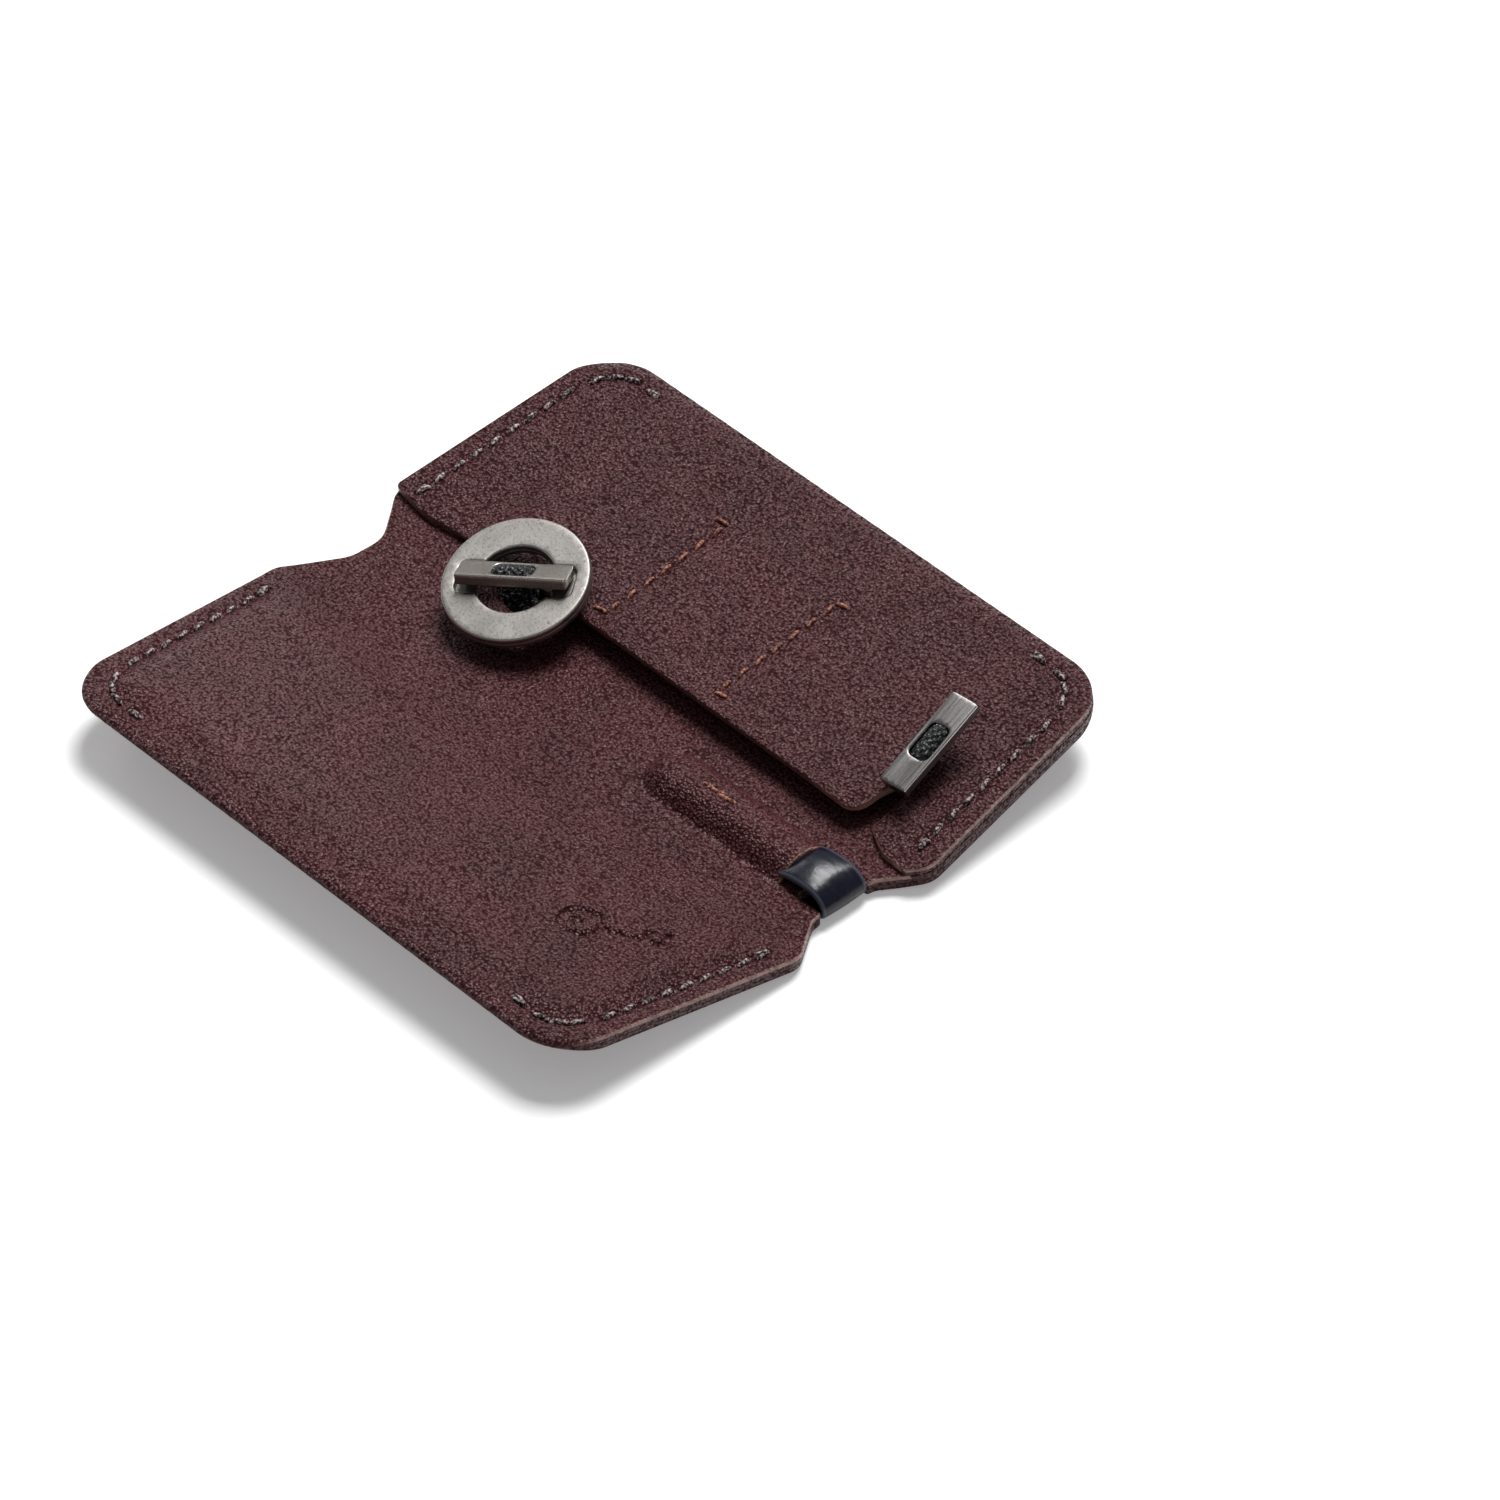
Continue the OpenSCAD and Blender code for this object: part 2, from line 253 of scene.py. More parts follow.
def grid_points(box, spacing):
    """A hexagonal grid of places over a box (x0, y0, x1, y1)."""
    x0, y0, x1, y1 = box
    ys = np.arange(y0, y1, spacing * 0.87)
    rows = []
    for i, y in enumerate(ys):
        xs = np.arange(x0 + (i % 2) * spacing / 2, x1, spacing)
        rows.append(np.column_stack([xs, np.full(len(xs), y)]))
    return np.vstack(rows)


def roll(d, radius):
    """How far a rounded edge falls at distance d from the outline."""
    inside = np.clip(radius - d, 0, radius)
    return radius - np.sqrt(np.maximum(radius ** 2 - inside ** 2, 0))


def slab(name, loops, top, bottom, place, material, r_top, r_bottom, spacing=0.9,
         fine=None, fine_spacing=0.3, step=0.35, extra=None, fields=None, walls=3):
    """A closed sheet with a shaped top and bottom and rounded edges.

    loops[0] is its outline and the others are holes. top and bottom give w at (s, y), place folds
    (s, y, w) into space, and fine says where the mesh is dense. fields gives more attributes.
    """
    loops = [even(np.asarray(loop, float), step) for loop in loops]
    loops = [loops[0]] + [loop[::-1] for loop in loops[1:]]
    rim = max(r_top, r_bottom)
    insets = rim * (1 - np.cos(np.radians([0, 20, 40, 65, 90])))
    flat, depth, edges, ring0 = [], [], [], []
    count = 0
    for loop in loops:
        normals = inward(loop)
        ring0.append(np.arange(count, count + len(loop)))
        edges += [(count + i, count + (i + 1) % len(loop)) for i in range(len(loop))]
        for inset in insets:
            flat.append(loop + normals * inset)
            depth.append(np.full(len(loop), inset))
            count += len(loop)
    outline = np.vstack(loops)
    low, high = outline.min(0), outline.max(0)
    inner = grid_points((*low, *high), spacing)
    if fine is not None:
        dense = grid_points((*low, *high), fine_spacing)
        inner = np.vstack([inner[~fine(*inner.T)], dense[fine(*dense.T)]])
    if extra is not None:
        inner = np.vstack([inner[distance(*inner.T, extra) > fine_spacing * 0.6], extra])
    gap = distance(*inner.T, outline)
    keep = (gap > rim + step * 0.55) & within(*inner.T, loops)
    flat = np.vstack(flat + [inner[keep]])
    depth = np.concatenate(depth + [gap[keep]])
    made = delaunay_2d_cdt([Vector(p) for p in flat], edges, [], 0, 1e-6, True)
    origin = np.array([o[0] if o else -1 for o in made[3]])
    faces = np.array(made[2])
    centres = np.array([tuple(p) for p in made[0]])[faces].mean(1)
    faces = faces[within(*centres.T, loops)]
    used = np.zeros(len(made[0]), bool)
    used[faces.ravel()] = True
    used &= origin >= 0
    faces = faces[used[faces].all(1)]
    renumber = np.cumsum(used) - 1
    faces = renumber[faces]
    origin = origin[used]
    s, y = flat[origin].T
    d = depth[origin]
    where = np.full(len(flat), -1)
    where[origin] = np.arange(len(origin))
    n = len(s)
    w_top = top(s, y) - roll(d, r_top)
    w_bottom = bottom(s, y) + roll(d, r_bottom)
    all_s, all_y, all_w = [s, s], [y, y], [w_top, w_bottom]
    wall = [np.where(d < 1e-6, 1.0, 0.0)] * 2
    # lip marks the rounding of the top edge; the materials use it for a painted highlight line.
    lip = [np.where(d < rim * 0.4, 1.0, 0.0), np.zeros(n)]
    quads = []
    count = 2 * n
    for ring in ring0:
        mine = where[ring]
        rows = [mine]
        for k in range(1, walls):
            part = k / walls
            all_s.append(s[mine])
            all_y.append(y[mine])
            all_w.append(w_top[mine] * (1 - part) + w_bottom[mine] * part)
            wall.append(np.ones(len(mine)))
            lip.append(np.zeros(len(mine)))
            rows.append(np.arange(count, count + len(mine)))
            count += len(mine)
        rows.append(mine + n)
        for a, b in zip(rows, rows[1:]):
            a2, b2 = np.roll(a, -1), np.roll(b, -1)
            quads.append(np.column_stack([a, b, b2, a2]))
    s, y, w = (np.concatenate(v) for v in (all_s, all_y, all_w))
    data = {"wall": np.concatenate(wall), "lip": np.concatenate(lip)}
    for field, make in (fields or {}).items():
        data[field] = make(s, y, w)
    polygons = faces.tolist() + (faces[:, ::-1] + n).tolist() + np.vstack(quads).tolist()
    return add_mesh(name, place(s, y, w), polygons, material, data, np.column_stack([s, y, w]))


# ---------------------------------------------------------------- the cover's shape

_reach = np.linspace(0, 60, 2401)
_lean = TILT * smooth((_reach - (CREASE - 3.5)) / 7.0)
_step = _reach[1] - _reach[0]
_across = np.concatenate([[0], np.cumsum(np.cos((_lean[1:] + _lean[:-1]) / 2) * _step)])
_height = np.concatenate([[0], np.cumsum(np.sin((_lean[1:] + _lean[:-1]) / 2) * _step)])


def fold_up(s, y, w):
    """The open cover's shape: flat across the spine, with a soft crease and a rising panel on each side."""
    side = np.sign(s)
    a = np.abs(s)
    lean = np.interp(a, _reach, _lean)
    x = np.interp(a, _reach, _across) - w * np.sin(lean)
    z = np.interp(a, _reach, _height) + w * np.cos(lean)
    return np.column_stack([side * x, y, z])


def fold_point(s, y, w):
    return fold_up(np.array([s]), np.array([y]), np.array([w]))[0]


def cover_outline():
    """The whole cover, with its waist at the spine and the cut for the loop."""
    cut_l, cut_r = SLEEVE_X - LOOP_W / 2 - 0.15, SLEEVE_X + LOOP_W / 2 + 0.15
    return rounded([
        (-SPAN, HALF_OUT, CORNER_R - 1), (-8.8, 47.2, 3.6), (-0.6, 42.4, 5), (4.4, 42.2, 5),
        (11.6, 47.4, 3.8), (SPAN, HALF_OUT, CORNER_R), (SPAN, -HALF_OUT, CORNER_R), (11.6, -47.4, 3.6),
        (5.9, -43.4, 1.2), (cut_r, -43.2, 0.4), (cut_r, -38.9, 0.5), (cut_l, -38.9, 0.5), (cut_l, -43.2, 0.5),
        (-4.3, -43.3, 1.4), (-9.9, -47.0, 3.6), (-SPAN, -HALF_OUT, CORNER_R),
    ])


COVER = even(cover_outline(), 0.4)


def stitch_row(side, end):
    """Places (s, y, direction) of one row of stitches: out from the spine, round the corner and back."""
    half_in, half_out = HALF_IN - STITCH_INSET, HALF_OUT - STITCH_INSET
    bend = CORNER_R - STITCH_INSET
    far = SPAN - CREASE - STITCH_INSET
    line = unit([far, half_out - half_in])
    slope = math.degrees(math.atan2(line[1], line[0]))
    places = []
    for i in range(int((far - 4.4 - bend) // STITCH_PITCH) + 1):
        u, y = np.array([4.4, half_in]) + line * STITCH_PITCH * i
        places.append((u, y, slope))
    hub_u, hub_y = far - bend, half_out - bend + 0.2
    for i in (1, 2, 3):
        angle = 90 - (90 + slope) * i / 3.4
        a = math.radians(angle)
        places.append((hub_u + bend * math.cos(a), hub_y + bend * math.sin(a), angle - 90))
    places.append((far, half_out - bend - 2.2, -90.0))
    row = []
    for u, y, angle in places:
        a = math.radians(angle)
        row.append((side * (CREASE + u), end * y, math.atan2(end * math.sin(a), side * math.cos(a))))
    return row


ROWS = {(side, end): stitch_row(side, end) for side in (-1, 1) for end in (-1, 1)}


def path_points(row, step=0.3):
    """Close-set points along a row of stitches."""
    at = np.array([(s, y) for s, y, a in row])
    length = run(at)
    return places_at(np.arange(0, length[-1], step), length, at)


def stitch_ends(row):
    """The two holes of each stitch."""
    half = STITCH_LEN / 2
    return np.array([
        (s + k * half * math.cos(a), y + k * half * math.sin(a)) for s, y, a in row for k in (-1, 1)
    ])


EDGE_PATHS = np.vstack([path_points(row) for row in ROWS.values()])
EDGE_HOLES = np.vstack([stitch_ends(row) for row in ROWS.values()])


def seam_row(y):
    """Places of a straight seam across the flap, with a back-tack across each end."""
    side = 1 if y > 0 else -1
    count = int((SEAM_U[1] - SEAM_U[0]) // STITCH_PITCH)
    start = CREASE + SEAM_U[0]
    row = [(start + STITCH_PITCH * i, y, 0.0) for i in range(count + 1)]
    for s in (start - STITCH_LEN / 2 - 0.5, start + STITCH_PITCH * count + STITCH_LEN / 2 + 0.5):
        row.append((s, y + side * 0.9, math.pi / 2))
    return row


SEAMS = {y: seam_row(y) for y in SEAM_Y}
SEAM_PATHS = np.vstack([path_points(row[:-2]) for row in SEAMS.values()])
SEAM_HOLES = np.vstack([stitch_ends(row) for row in SEAMS.values()])


def ripple(s, y, seed):
    """A slow unevenness of the leather, about a twentieth of a millimetre."""
    total = np.zeros(np.shape(s))
    for k in range(5):
        a = seed * 1.7 + k * 2.399
        q = 0.16 + 0.07 * k
        total = total + np.sin(q * (s * math.cos(a) + y * math.sin(a)) + seed + 3.1 * k) / (1 + k)
    return 0.035 * total


def sewn(s, y, paths, holes, depth=0.26, width=0.8, pit=0.36):
    """How far sewing pulls the leather down: a soft channel, with a pit at each needle hole."""
    channel = depth * np.exp(-(distance(s, y, paths) / width) ** 2)
    return channel + pit * np.exp(-(distance(s, y, holes) / 0.36) ** 2)


def long_edge(s):
    return smooth((np.abs(s) - (SPAN - 7)) / 5)


def sleeve_height(s, y):
    """The moulded sleeve, rounded at its far end and open at its mouth."""
    centre = np.clip(y, SLEEVE_MOUTH - 2, SLEEVE_FAR - SLEEVE_HALF)
    r = np.hypot(s - SLEEVE_X, y - centre) / SLEEVE_HALF
    dome = (1 - np.clip(r, 0, 1) ** 2.7) ** 1.25
    rise = 0.8 + 0.2 * smooth((SLEEVE_FAR - 2 - y) / 9)
    open_end = smooth((y - (SLEEVE_MOUTH - 0.06)) / 0.12)
    crease = -0.13 * np.exp(-((r - 1.07) / 0.09) ** 2) * (y > SLEEVE_MOUTH)
    slit = -0.32 * np.exp(-((s - SLEEVE_X) / 0.34) ** 4) * smooth((2.9 - np.abs(y - TACK_Y)) / 0.5)
    return SLEEVE_H * dome * rise * open_end + crease + slit


def mark_strokes():
    """The pressed mark, a small outline key: a round bow, a shaft and two teeth."""
    strokes = []
    for a in np.linspace(0, 2 * math.pi, 60):
        strokes.append((-3.3 + 1.9 * math.cos(a), 1.9 * math.sin(a)))
    for a in np.linspace(0, 2 * math.pi, 18):
        strokes.append((-3.9 + 0.45 * math.cos(a), 0.45 * math.sin(a)))
    for t in np.linspace(-1.4, 5.2, 40):
        strokes.append((t, 0))
    for x, length in ((3.1, 1.5), (4.9, 1.9)):
        for t in np.linspace(0, length, 12):
            strokes.append((x, t))
    turn = math.atan2(-0.89, 0.46)
    c, s = 1.25 * math.cos(turn), 1.25 * math.sin(turn)
    return np.array([(-25.6 + c * x - s * y, -31.4 + s * x + c * y) for x, y in strokes])


MARK = mark_strokes()


def lining_top(s, y):
    edge = distance(s, y, COVER)
    u = np.abs(s) - CREASE
    plain = s < 0
    lift = BOARD_LIFT * smooth((edge - 2.9) / 3.4) * smooth((u - 1.5) / 6)
    w = 2 * LEATHER + np.where(plain, lift, 0)
    w = w - long_edge(s) * 0.75 * np.clip(1 - edge / 3.2, 0, 1) ** 2
    w = w - np.where(plain, sewn(s, y, EDGE_PATHS, EDGE_HOLES), 0)
    w = w + np.where(plain, ripple(s, y, 1.0), 0) * smooth(edge / 4)
    pressed = distance(s, y, MARK)
    w = w - np.where(plain, 0.5 * (1 - smooth((pressed - 0.28) / 0.32)), 0)
    w = w + np.where(plain, 0.08 * np.exp(-((pressed - 0.85) / 0.3) ** 2), 0)
    return w + np.where(np.abs(s) < 8, sleeve_height(s, y), 0)


def flap_rise(s, y):
    """How far the flap stands off the lining: most at its free edge, sloping down above and slit below."""
    along = np.clip((FLAP_REST - s) / (FLAP_REST - FLAP_START), 0, 1)
    ramp = smooth((RAMP[1] - y) / (RAMP[1] - RAMP[0]))
    beyond = smooth((SLIT_Y + 1.6 + y) / 5.0)
    inside = (y > -SLIT_Y).astype(float)
    split = smooth((SLIT_END - s) / 6)
    share = ramp * (inside * split + beyond * (1 - split))
    droop = 0.35 * smooth((-y - 27) / 9) * smooth((SLIT_END - 4 - s) / 10)
    return FLAP_LIFT * along * share * (1 - droop)


def flap_bottom(s, y):
    thin = 0.3 * smooth((FLAP_START + 3 - s) / 2.5)
    return 2 * LEATHER + flap_rise(s, y) + thin * ((y > -SLIT_Y) & (y < RAMP[1])) + 0.01


def flap_top(s, y):
    edge = distance(s, y, COVER)
    w = 3 * LEATHER + flap_rise(s, y)
    w = w - sewn(s, y, EDGE_PATHS, EDGE_HOLES)
    w = w - sewn(s, y, SEAM_PATHS, SEAM_HOLES, 0.1, 0.6, 0.2)
    w = w - 0.16 * np.exp(-(distance(s, y, SEAM_PATHS) / 2.2) ** 2)
    w = w - long_edge(s) * 0.8 * np.clip(1 - edge / 3.2, 0, 1) ** 2
    tab = smooth((-y - SLIT_Y) / 1.5) * smooth((SLIT_END - s) / 4)
    return w + ripple(s, y, 2.0) * smooth(edge / 4) - 0.15 * tab * np.exp(-((s - FLAP_START) / 2.5) ** 2)


def flap_outline():
    """The flap from its free edge out, with a slit near its lower end that frees its middle."""
    inner, outer = SLIT_Y - SLIT_W / 2, SLIT_Y + SLIT_W / 2
    return rounded([
        (SPAN, HALF_OUT, CORNER_R), (SPAN, -HALF_OUT, CORNER_R), (11.6, -47.4, 3.6), (8.9, -45.45, 0.8),
        (9.1, -41.3, 1.6), (11.2, -outer, 1.0), (SLIT_END, -SLIT_Y - 0.45, 0.4),
        (SLIT_END, -SLIT_Y + 0.45, 0.4), (FLAP_START, -inner, 2.3), (FLAP_START, 27.5, 12), (11.3, 35, 9),
        (10.7, 41, 8), (11.7, 47.35, 0.8),
    ][::-1])


# ---------------------------------------------------------------- materials

def shader(name):
    """A new material, its node tree and its shader."""
    material = bpy.data.materials.new(name)
    material.use_nodes = True
    tree = material.node_tree
    return material, tree, tree.nodes["Principled BSDF"]


def node(tree, kind, **settings):
    made = tree.nodes.new(kind)
    for key, value in settings.items():
        setattr(made, key, value)
    return made


def flat_place(tree):
    return node(tree, "ShaderNodeAttribute", attribute_name="flat").outputs["Vector"]


def field(tree, name):
    return node(tree, "ShaderNodeAttribute", attribute_name=name).outputs["Fac"]


def noise(tree, vector, scale, detail=2.0):
    made = node(tree, "ShaderNodeTexNoise")
    made.inputs["Scale"].default_value = scale
    made.inputs["Detail"].default_value = detail
    tree.links.new(vector, made.inputs["Vector"])
    return made.outputs["Fac"]


def stretched(tree, vector, scale):
    made = node(tree, "ShaderNodeMapping")
    made.inputs["Scale"].default_value = scale
    tree.links.new(vector, made.inputs["Vector"])
    return made.outputs["Vector"]


def maths(tree, operation, a, b, c=None):
    made = node(tree, "ShaderNodeMath", operation=operation)
    for socket, value in zip(made.inputs, (a, b, c)):
        if value is None:
            continue
        if isinstance(value, (int, float)):
            socket.default_value = value
        else:
            tree.links.new(value, socket)
    return made.outputs["Value"]


def remap(tree, value, low, high, to_low=0.0, to_high=1.0):
    made = node(tree, "ShaderNodeMapRange")
    tree.links.new(value, made.inputs["Value"])
    for key, number in (("From Min", low), ("From Max", high), ("To Min", to_low), ("To Max", to_high)):
        made.inputs[key].default_value = number
    return made.outputs["Result"]


def mix(tree, factor, a, b, blend="MIX"):
    made = node(tree, "ShaderNodeMix", data_type="RGBA", blend_type=blend)
    sockets = [made.inputs[0], made.inputs[6], made.inputs[7]]
    for socket, value in zip(sockets, (factor, a, b)):
        if isinstance(value, (int, float)):
            socket.default_value = value
        elif isinstance(value, tuple):
            socket.default_value = (*value, 1)
        else:
            tree.links.new(value, socket)
    return made.outputs[2]


def shade(tree, colour, tone):
    """A colour made lighter or darker by a number."""
    grey = node(tree, "ShaderNodeCombineColor")
    for socket in grey.inputs[:3]:
        tree.links.new(tone, socket)
    return mix(tree, 1.0, colour, grey.outputs["Color"], "MULTIPLY")


def bump(tree, height, depth):
    made = node(tree, "ShaderNodeBump")
    made.inputs["Strength"].default_value = 1.0
    made.inputs["Distance"].default_value = depth
    tree.links.new(height, made.inputs["Height"])
    return made.outputs["Normal"]


def pebbles(tree, vector, scale):
    """Leather's pebbled grain: rounded cells with fine valleys between them."""
    warp = node(tree, "ShaderNodeTexNoise")
    warp.inputs["Scale"].default_value = scale * 0.55
    tree.links.new(vector, warp.inputs["Vector"])
    shift = node(tree, "ShaderNodeVectorMath", operation="MULTIPLY_ADD")
    tree.links.new(warp.outputs["Color"], shift.inputs[0])
    shift.inputs[1].default_value = (0.7 / scale,) * 3
    tree.links.new(vector, shift.inputs[2])
    cells = node(tree, "ShaderNodeTexVoronoi", feature="SMOOTH_F1")
    cells.inputs["Scale"].default_value = scale
    cells.inputs["Smoothness"].default_value = 0.35
    tree.links.new(shift.outputs["Vector"], cells.inputs["Vector"])
    return cells.outputs["Distance"]


def leather(name, face, valley_shade, edge_paint_and_shade, roughness=0.33, grain=2700.0, depth=0.00022):
    """Pebbled leather: pale specks in the base colour that are painted highlights, painted shade in the
    grain's hollows, a painted edge darkened to stand in for shade, a pale line along the top edge that is a
    painted highlight, and raw cut edges.
    """
    material, tree, bsdf = shader(name)
    place = flat_place(tree)
    cell = pebbles(tree, place, grain)
    fine = noise(tree, place, grain * 2.6, 3)
    broad = noise(tree, place, 110, 3)
    height = maths(tree, "MULTIPLY_ADD", cell, -1.0, 1.0)
    height = maths(tree, "MULTIPLY_ADD", fine, 0.3, height)
    pleats = noise(tree, stretched(tree, place, (1000, 150, 400)), 1.0, 2)
    pleats = maths(tree, "MULTIPLY", pleats, field(tree, "crinkle"))
    height = maths(tree, "MULTIPLY_ADD", pleats, 3.0, height)
    low = remap(tree, cell, 0.25, 0.75)
    # Painted shade: the grain's hollows take the darker colour.
    colour = mix(tree, low, face, valley_shade)
    # Painted highlights: pale pinkish specks mixed into the base colour, mostly on the pebble tops. They stay
    # put whatever the light does.
    painted_glints = remap(tree, noise(tree, place, grain * 1.5, 2), 0.55, 0.63)
    painted_glints = maths(tree, "MULTIPLY", painted_glints, remap(tree, low, 0.1, 0.7, 0.34, 0.05))
    colour = mix(tree, painted_glints, colour, (0.36, 0.18, 0.18))
    tone = remap(tree, broad, 0.3, 0.7, 0.8, 1.15)
    colour = shade(tree, colour, tone)
    wall, lip, raw = (field(tree, n) for n in ("wall", "lip", "raw"))
    edge_noise = noise(tree, place, 900, 3)
    # The walls take a painted-edge colour, darkened to stand in for the shade on the unlit long edge: a real
    # edge finish with painted shade.
    colour = mix(tree, wall, colour, edge_paint_and_shade)
    fuzz = mix(tree, edge_noise, (0.17, 0.06, 0.045), (0.42, 0.25, 0.21))
    colour = mix(tree, raw, colour, fuzz)
    # Painted highlight: a pale line along the top edge, where the rounded edge would catch the light.
    line = maths(tree, "MULTIPLY", lip, remap(tree, edge_noise, 0.3, 0.6, 0.35, 0.85))
    colour = mix(tree, line, colour, (0.42, 0.27, 0.24))
    tree.links.new(colour, bsdf.inputs["Base Color"])
    rough = remap(tree, low, 0, 1, roughness - 0.06, roughness + 0.22)
    rough = maths(tree, "MULTIPLY_ADD", raw, 0.3, rough)
    tree.links.new(rough, bsdf.inputs["Roughness"])
    flatness = maths(tree, "MULTIPLY_ADD", wall, -0.8, 1.0)
    height = maths(tree, "MULTIPLY", height, flatness)
    tree.links.new(bump(tree, height, depth), bsdf.inputs["Normal"])
    tree.links.new(remap(tree, low, 0.05, 0.9, 0.5, 0.06), bsdf.inputs["Specular IOR Level"])
    bsdf.inputs["Specular Tint"].default_value = (1.0, 0.78, 0.78, 1)
    return material


def polished_leather(name):
    """Smooth navy leather with a soft gloss, faint creases and a lighter line along the edges of its upper
    face.
    """
    material, tree, bsdf = shader(name)
    place = flat_place(tree)
    pores = noise(tree, place, 1700, 4)
    creases = noise(tree, stretched(tree, place, (260, 1300, 400)), 1.0, 3)
    colour = mix(tree, pores, (0.003, 0.0035, 0.008), (0.008, 0.009, 0.02))
    lip = maths(tree, "MULTIPLY", field(tree, "lip"), 0.5)
    colour = mix(tree, lip, colour, (0.1, 0.11, 0.15))
    tree.links.new(colour, bsdf.inputs["Base Color"])
    tree.links.new(remap(tree, creases, 0.3, 0.7, 0.2, 0.34), bsdf.inputs["Roughness"])
    height = maths(tree, "MULTIPLY_ADD", creases, 0.6, pores)
    tree.links.new(bump(tree, height, 0.00003), bsdf.inputs["Normal"])
    bsdf.inputs["Specular IOR Level"].default_value = 0.3
    return material


def metal(name, tone, roughness, brushed=False):
    """Nickel: tumbled to a fine speckle, or brushed along its length, with a painted highlight along its top
    bevels.
    """
    material, tree, bsdf = shader(name)
    place = flat_place(tree)
    if brushed:
        grain = noise(tree, stretched(tree, place, (120, 3800, 3800)), 1.0, 2)
    else:
        grain = noise(tree, place, 2600, 4)
    patches = noise(tree, place, 240, 4)
    dark = tuple(0.72 * c for c in tone)
    colour = mix(tree, remap(tree, patches, 0.3, 0.7), dark, tone)
    pits = remap(tree, noise(tree, place, 4200, 2), 0.3, 0.42, 0.55, 1.0)
    colour = shade(tree, colour, pits)
    # Painted highlight: the top bevels are lighter in colour, as if catching the light.
    bevel = field(tree, "lip")
    colour = mix(tree, bevel, colour, (0.62, 0.6, 0.58))
    tree.links.new(colour, bsdf.inputs["Base Color"])
    rough = remap(tree, grain, 0.25, 0.75, roughness - 0.08, roughness + 0.1)
    rough = maths(tree, "MULTIPLY_ADD", bevel, -0.16, rough)
    tree.links.new(rough, bsdf.inputs["Roughness"])
    tree.links.new(bump(tree, grain, 0.000012), bsdf.inputs["Normal"])
    bsdf.inputs["Metallic"].default_value = 1.0
    return material


def cloth(name, dark, light, share=0.62, scale=2600):
    """Woven or twisted yarn: near black, with paler flecks on the fibres that are painted highlights."""
    material, tree, bsdf = shader(name)
    place = flat_place(tree)
    fibres = noise(tree, place, scale, 4)
    # Painted highlights: pale flecks mixed into the base colour.
    painted_highlight_fleck = remap(tree, fibres, share - 0.06, share + 0.08)
    tree.links.new(mix(tree, painted_highlight_fleck, dark, light), bsdf.inputs["Base Color"])
    tree.links.new(remap(tree, fibres, 0.3, 0.7, 0.75, 0.45), bsdf.inputs["Roughness"])
    tree.links.new(bump(tree, fibres, 0.00006), bsdf.inputs["Normal"])
    bsdf.inputs["Specular IOR Level"].default_value = 0.3
    return material


def board_card(name):
    """Grey-white pressed card with fibres, hidden inside the panels."""
    material, tree, bsdf = shader(name)
    place = node(tree, "ShaderNodeTexCoord").outputs["Object"]
    fibres = noise(tree, place, 900, 5)
    tree.links.new(mix(tree, fibres, (0.42, 0.4, 0.36), (0.62, 0.6, 0.55)), bsdf.inputs["Base Color"])
    tree.links.new(remap(tree, fibres, 0, 1, 0.8, 0.95), bsdf.inputs["Roughness"])
    return material


def floor_paper(name):
    """A white floor that glows faintly, like a light table."""
    material, tree, bsdf = shader(name)
    place = node(tree, "ShaderNodeTexCoord").outputs["Object"]
    tooth = noise(tree, place, 600, 2)
    tree.links.new(mix(tree, tooth, (0.86, 0.86, 0.86), (0.88, 0.88, 0.88)), bsdf.inputs["Base Color"])
    bsdf.inputs["Roughness"].default_value = 0.95
    bsdf.inputs["Specular IOR Level"].default_value = 0.1
    bsdf.inputs["Emission Color"].default_value = (1, 1, 1, 1)
    bsdf.inputs["Emission Strength"].default_value = 0.25
    return material


# ---------------------------------------------------------------- pieces

def crinkles(s, y, w):
    """Where the leather shows fine folds: beside the sleeve and fanning from the notches."""
    beside = smooth((-2.5 - s) / 1.5) * smooth((s + 9.5) / 3) * smooth((-y - 16) / 8)
    notch = smooth((np.abs(y) - 33) / 8) * smooth((12 - np.abs(s)) / 4)
    return np.clip(0.8 * beside + 0.5 * notch, 0, 1)


def nothing(s, y, w):
    return np.zeros(np.shape(s))


def mouth_edge(s, y, w):
    """The raw leather at the sleeve's mouth."""
    near = np.abs(y - SLEEVE_MOUTH) < 0.13
    return (near & (w > 2 * LEATHER + 0.3) & (np.abs(s - SLEEVE_X) < SLEEVE_HALF)).astype(float)


def make_outer(material):
    """The outer leather: one sheet under both panels and the spine."""
    def under(s, y):
        edge = distance(s, y, COVER)
        pull = sewn(s, y, EDGE_PATHS, EDGE_HOLES, 0.14, 0.7, 0.22)
        return pull + long_edge(s) * 0.5 * np.clip(1 - edge / 2.6, 0, 1) ** 2

    def fine(s, y):
        return distance(s, y, EDGE_PATHS) < 1.7

    def inner(s, y):
        return np.full(np.shape(s), LEATHER)

    return slab("outer_leather", [COVER], inner, under, fold_up, material, 0.05, 0.55, 1.1, fine, 0.32,
                fields={"crinkle": nothing, "raw": nothing})


